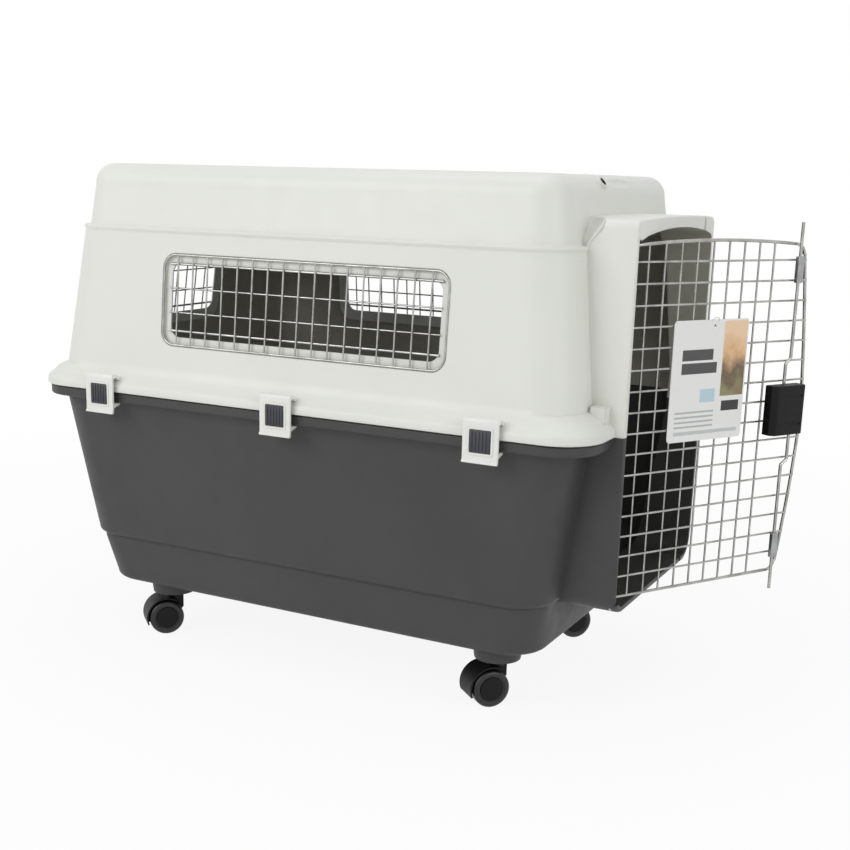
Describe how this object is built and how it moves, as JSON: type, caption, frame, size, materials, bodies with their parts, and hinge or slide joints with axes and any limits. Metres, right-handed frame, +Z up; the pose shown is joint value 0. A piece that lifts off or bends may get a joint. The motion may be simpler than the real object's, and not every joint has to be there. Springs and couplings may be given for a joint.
{
  "type": "wheeled pet travel crate",
  "caption": "Wheeled plastic travel crate for a pet: two moulded half shells held by side clips, wire windows, a swinging wire grille door with a pinch latch, and swivel casters.",
  "frame": {"origin": "on the floor, at the middle of the footprint", "axes": "+X towards the door end, +Y towards the far long side, +Z up"},
  "size_m": [0.9952, 0.5514, 0.672],
  "materials": {
    "base": "moulded dark grey polypropylene, fine texture",
    "shell": "moulded white polypropylene, satin",
    "wire": "bright plated steel wire",
    "zinc": "zinc plated steel",
    "latch": "black moulded nylon",
    "button": "slate grey moulded plastic",
    "tread": "black moulded wheel",
    "card": "coated card, plain"
  },
  "bodies": {
    "crate": {"base_shell": "base", "top_shell": "shell", "near_window_grille": "wire", "far_window_grille": "wire", "rear_window_grille": "wire"},
    "door": {"door_grille": "wire", "latch_housing": "latch", "upper_rod_guide": "zinc", "lower_rod_guide": "zinc", "hang_tag": "card"},
    "upper_rod": {"upper_latch_rod": "wire"},
    "lower_rod": {"lower_latch_rod": "wire"},
    "near_rear_clip": {"near_rear_clip_body": "shell"},
    "near_rear_clip_press": {"near_rear_clip_button": "button"},
    "near_middle_clip": {"near_middle_clip_body": "shell"},
    "near_middle_clip_press": {"near_middle_clip_button": "button"},
    "near_front_clip": {"near_front_clip_body": "shell"},
    "near_front_clip_press": {"near_front_clip_button": "button"},
    "far_rear_clip": {"far_rear_clip_body": "shell"},
    "far_rear_clip_press": {"far_rear_clip_button": "button"},
    "far_middle_clip": {"far_middle_clip_body": "shell"},
    "far_middle_clip_press": {"far_middle_clip_button": "button"},
    "far_front_clip": {"far_front_clip_body": "shell"},
    "far_front_clip_press": {"far_front_clip_button": "button"},
    "rear_near_caster": {"rear_near_caster_hood": "latch", "rear_near_caster_axle": "zinc"},
    "rear_near_caster_left_roll": {"rear_near_caster_left_wheel": "tread"},
    "rear_near_caster_right_roll": {"rear_near_caster_right_wheel": "tread"},
    "rear_far_caster": {"rear_far_caster_hood": "latch", "rear_far_caster_axle": "zinc"},
    "rear_far_caster_left_roll": {"rear_far_caster_left_wheel": "tread"},
    "rear_far_caster_right_roll": {"rear_far_caster_right_wheel": "tread"},
    "front_near_caster": {"front_near_caster_hood": "latch", "front_near_caster_axle": "zinc"},
    "front_near_caster_left_roll": {"front_near_caster_left_wheel": "tread"},
    "front_near_caster_right_roll": {"front_near_caster_right_wheel": "tread"},
    "front_far_caster": {"front_far_caster_hood": "latch", "front_far_caster_axle": "zinc"},
    "front_far_caster_left_roll": {"front_far_caster_left_wheel": "tread"},
    "front_far_caster_right_roll": {"front_far_caster_right_wheel": "tread"}
  },
  "joints": [
    {"name": "door_hinge", "type": "hinge", "parent": "crate", "child": "door", "pos_m": [0.33158, -0.15, 0.38], "axis": [0, 0, 1], "range_deg": [-78, 31.4]},
    {"name": "upper_rod_slide", "type": "slide", "parent": "door", "child": "upper_rod", "axis": [0, 0, -1], "range_m": [0, 0.02], "stiffness_N_per_m": 150, "springref_m": -0.006},
    {"name": "lower_rod_slide", "type": "slide", "parent": "door", "child": "lower_rod", "axis": [0, 0, 1], "range_m": [0, 0.02], "stiffness_N_per_m": 150, "springref_m": -0.006},
    {"name": "near_rear_clip_hinge", "type": "hinge", "parent": "crate", "child": "near_rear_clip", "pos_m": [-0.36772, -0.256, 0.3895], "axis": [-1, 0, 0], "range_deg": [0, 100]},
    {"name": "near_rear_clip_button_slide", "type": "slide", "parent": "near_rear_clip", "child": "near_rear_clip_press", "axis": [0, 1, 0], "range_m": [0, 0.0025], "stiffness_N_per_m": 400},
    {"name": "near_middle_clip_hinge", "type": "hinge", "parent": "crate", "child": "near_middle_clip", "pos_m": [-0.08302, -0.256, 0.3895], "axis": [-1, 0, 0], "range_deg": [0, 100]},
    {"name": "near_middle_clip_button_slide", "type": "slide", "parent": "near_middle_clip", "child": "near_middle_clip_press", "axis": [0, 1, 0], "range_m": [0, 0.0025], "stiffness_N_per_m": 400},
    {"name": "near_front_clip_hinge", "type": "hinge", "parent": "crate", "child": "near_front_clip", "pos_m": [0.20168, -0.256, 0.3895], "axis": [-1, 0, 0], "range_deg": [0, 100]},
    {"name": "near_front_clip_button_slide", "type": "slide", "parent": "near_front_clip", "child": "near_front_clip_press", "axis": [0, 1, 0], "range_m": [0, 0.0025], "stiffness_N_per_m": 400},
    {"name": "far_rear_clip_hinge", "type": "hinge", "parent": "crate", "child": "far_rear_clip", "pos_m": [-0.36772, 0.256, 0.3895], "axis": [1, 0, 0], "range_deg": [0, 100]},
    {"name": "far_rear_clip_button_slide", "type": "slide", "parent": "far_rear_clip", "child": "far_rear_clip_press", "axis": [0, -1, 0], "range_m": [0, 0.0025], "stiffness_N_per_m": 400},
    {"name": "far_middle_clip_hinge", "type": "hinge", "parent": "crate", "child": "far_middle_clip", "pos_m": [-0.08302, 0.256, 0.3895], "axis": [1, 0, 0], "range_deg": [0, 100]},
    {"name": "far_middle_clip_button_slide", "type": "slide", "parent": "far_middle_clip", "child": "far_middle_clip_press", "axis": [0, -1, 0], "range_m": [0, 0.0025], "stiffness_N_per_m": 400},
    {"name": "far_front_clip_hinge", "type": "hinge", "parent": "crate", "child": "far_front_clip", "pos_m": [0.20168, 0.256, 0.3895], "axis": [1, 0, 0], "range_deg": [0, 100]},
    {"name": "far_front_clip_button_slide", "type": "slide", "parent": "far_front_clip", "child": "far_front_clip_press", "axis": [0, -1, 0], "range_m": [0, 0.0025], "stiffness_N_per_m": 400},
    {"name": "rear_near_caster_swivel", "type": "hinge", "parent": "crate", "child": "rear_near_caster", "pos_m": [-0.33932, -0.152, 0.07], "axis": [0, 0, 1], "continuous": true},
    {"name": "rear_near_caster_left_wheel_spin", "type": "hinge", "parent": "rear_near_caster", "child": "rear_near_caster_left_roll", "pos_m": [-0.34936, -0.16315, 0.025], "axis": [-0.7431, 0.6691, 0], "continuous": true},
    {"name": "rear_near_caster_right_wheel_spin", "type": "hinge", "parent": "rear_near_caster", "child": "rear_near_caster_right_roll", "pos_m": [-0.34936, -0.16315, 0.025], "axis": [-0.7431, 0.6691, 0], "continuous": true},
    {"name": "rear_far_caster_swivel", "type": "hinge", "parent": "crate", "child": "rear_far_caster", "pos_m": [-0.33932, 0.152, 0.07], "axis": [0, 0, 1], "continuous": true},
    {"name": "rear_far_caster_left_wheel_spin", "type": "hinge", "parent": "rear_far_caster", "child": "rear_far_caster_left_roll", "pos_m": [-0.34936, 0.14085, 0.025], "axis": [-0.7431, 0.6691, 0], "continuous": true},
    {"name": "rear_far_caster_right_wheel_spin", "type": "hinge", "parent": "rear_far_caster", "child": "rear_far_caster_right_roll", "pos_m": [-0.34936, 0.14085, 0.025], "axis": [-0.7431, 0.6691, 0], "continuous": true},
    {"name": "front_near_caster_swivel", "type": "hinge", "parent": "crate", "child": "front_near_caster", "pos_m": [0.18468, -0.152, 0.07], "axis": [0, 0, 1], "continuous": true},
    {"name": "front_near_caster_left_wheel_spin", "type": "hinge", "parent": "front_near_caster", "child": "front_near_caster_left_roll", "pos_m": [0.17464, -0.16315, 0.025], "axis": [-0.7431, 0.6691, 0], "continuous": true},
    {"name": "front_near_caster_right_wheel_spin", "type": "hinge", "parent": "front_near_caster", "child": "front_near_caster_right_roll", "pos_m": [0.17464, -0.16315, 0.025], "axis": [-0.7431, 0.6691, 0], "continuous": true},
    {"name": "front_far_caster_swivel", "type": "hinge", "parent": "crate", "child": "front_far_caster", "pos_m": [0.18468, 0.152, 0.07], "axis": [0, 0, 1], "continuous": true},
    {"name": "front_far_caster_left_wheel_spin", "type": "hinge", "parent": "front_far_caster", "child": "front_far_caster_left_roll", "pos_m": [0.17464, 0.14085, 0.025], "axis": [-0.7431, 0.6691, 0], "continuous": true},
    {"name": "front_far_caster_right_wheel_spin", "type": "hinge", "parent": "front_far_caster", "child": "front_far_caster_right_roll", "pos_m": [0.17464, 0.14085, 0.025], "axis": [-0.7431, 0.6691, 0], "continuous": true}
  ]
}
